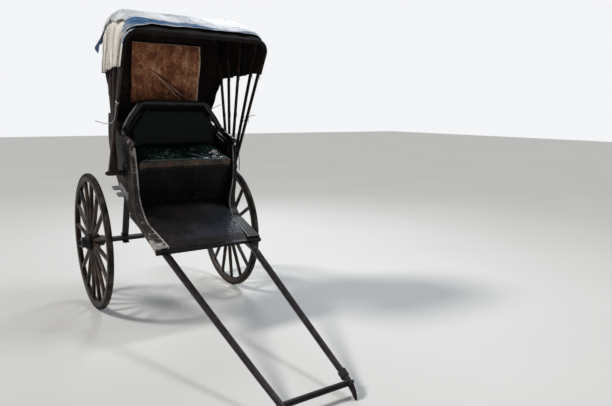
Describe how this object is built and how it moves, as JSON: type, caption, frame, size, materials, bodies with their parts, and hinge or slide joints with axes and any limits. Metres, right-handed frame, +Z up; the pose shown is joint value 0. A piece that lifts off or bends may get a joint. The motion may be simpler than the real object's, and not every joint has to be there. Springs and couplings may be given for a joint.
{
  "type": "hand-pulled rickshaw",
  "caption": "Hand-pulled passenger cart on large spoked wheels, with a padded seat under a folding bow hood, a footboard, and shafts joined by a pull bar.",
  "frame": {"origin": "on the ground, below the middle of the parked outline; the axle is 0.829 m behind it", "axes": "+X forward towards the pull bar, +Y to the passengers' left, +Z up, as the rickshaw stands parked on its wheels and shaft tips"},
  "size_m": [2.6778, 1.342, 2.1167],
  "materials": {
    "black_iron": "blackened iron with rust",
    "body_wood": "black painted wood, worn",
    "bow_wood": "dark bent lath",
    "cord": "dark twisted cord",
    "curtain_cloth": "rust brown sheet, creased",
    "footboard_sheet": "black sheet, worn bright at the edge",
    "hood_band": "faded tarpaulin edge with a blue stripe",
    "hood_canvas": "faded pale tarpaulin, dark lining",
    "hub_wood": "greasy dark wood",
    "seat_cloth": "dark green coated cloth, creased",
    "shaft_wood": "dark wood polished by hands",
    "tyre_rubber": "worn solid rubber, dusty",
    "wheel_wood": "oiled dark wood, weathered",
    "worn_rail_wood": "weathered wood with peeling pale paint"
  },
  "bodies": {
    "body": {"arm_roll": "seat_cloth", "axle": "black_iron", "axle_clamp_left": "black_iron", "axle_clamp_right": "black_iron", "axle_nut_left": "black_iron", "axle_nut_right": "black_iron", "back_board": "body_wood", "back_cushion": "seat_cloth", "belly_board": "body_wood", "floor_bearer": "body_wood", "footboard": "footboard_sheet", "front_rail": "body_wood", "hood_pivot_left": "black_iron", "hood_pivot_right": "black_iron", "post_left": "black_iron", "post_right": "black_iron", "pull_bar": "shaft_wood", "rear_curtain": "curtain_cloth", "rear_ledge": "body_wood", "seat_board": "body_wood", "seat_box_front": "body_wood", "seat_cushion": "seat_cloth", "shaft_left": "shaft_wood", "shaft_right": "shaft_wood", "side_lugs_left": "black_iron", "side_lugs_right": "black_iron", "side_pad_left": "seat_cloth", "side_pad_right": "seat_cloth", "side_panel_left": "body_wood", "side_panel_right": "body_wood", "side_rail_left": "worn_rail_wood", "side_rail_right": "worn_rail_wood", "stern_board": "body_wood", "tie_cord": "cord"},
    "wheel_left": {"wheel_left_felloe": "wheel_wood", "wheel_left_hub": "hub_wood", "wheel_left_hub_bands": "black_iron", "wheel_left_spokes": "wheel_wood", "wheel_left_tyre": "tyre_rubber"},
    "wheel_right": {"wheel_right_felloe": "wheel_wood", "wheel_right_hub": "hub_wood", "wheel_right_hub_bands": "black_iron", "wheel_right_spokes": "wheel_wood", "wheel_right_tyre": "tyre_rubber"},
    "hood_bow_1": {"bow_1": "bow_wood"},
    "hood_bow_2": {"bow_2": "bow_wood", "hood_cloth_1": "hood_canvas"},
    "hood_bow_3": {"bow_3": "bow_wood", "hood_cloth_2": "hood_canvas"},
    "hood_bow_4": {"bow_4": "bow_wood", "hood_cloth_3": "hood_canvas"},
    "hood_bow_5": {"bow_5": "bow_wood", "hood_cloth_4": "hood_canvas", "hood_front_band": "hood_band"}
  },
  "joints": [
    {"name": "wheel_left_spin", "type": "hinge", "parent": "body", "child": "wheel_left", "pos_m": [-0.82896, 0.56, 0.51], "axis": [0, 1, 0], "continuous": true},
    {"name": "wheel_right_spin", "type": "hinge", "parent": "body", "child": "wheel_right", "pos_m": [-0.82896, -0.56, 0.51], "axis": [0, 1, 0], "continuous": true},
    {"name": "hood_fold", "type": "hinge", "parent": "body", "child": "hood_bow_1", "pos_m": [-0.55822, 0, 1.04275], "axis": [0, -1, 0], "range_deg": [0, 59], "deforming": ["rear_curtain"]},
    {"name": "bow_2_fold", "type": "hinge", "parent": "hood_bow_1", "child": "hood_bow_2", "pos_m": [-0.55822, 0, 1.04275], "axis": [0, -1, 0], "range_deg": [0, 3.51], "deforming": ["hood_cloth_1"]},
    {"name": "bow_3_fold", "type": "hinge", "parent": "hood_bow_2", "child": "hood_bow_3", "pos_m": [-0.55822, 0, 1.04275], "axis": [0, -1, 0], "range_deg": [0, 5.51], "deforming": ["hood_cloth_2"]},
    {"name": "bow_4_fold", "type": "hinge", "parent": "hood_bow_3", "child": "hood_bow_4", "pos_m": [-0.55822, 0, 1.04275], "axis": [0, -1, 0], "range_deg": [0, 7.51], "deforming": ["hood_cloth_3"]},
    {"name": "bow_5_fold", "type": "hinge", "parent": "hood_bow_4", "child": "hood_bow_5", "pos_m": [-0.55822, 0, 1.04275], "axis": [0, -1, 0], "range_deg": [0, 1.01], "deforming": ["hood_cloth_4"]}
  ],
  "couplings": [
    {"joint": "bow_2_fold", "follows": "hood_fold", "ratio": 0.059322},
    {"joint": "bow_3_fold", "follows": "hood_fold", "ratio": 0.09322},
    {"joint": "bow_4_fold", "follows": "hood_fold", "ratio": 0.12712},
    {"joint": "bow_5_fold", "follows": "hood_fold", "ratio": 0.016949}
  ]
}
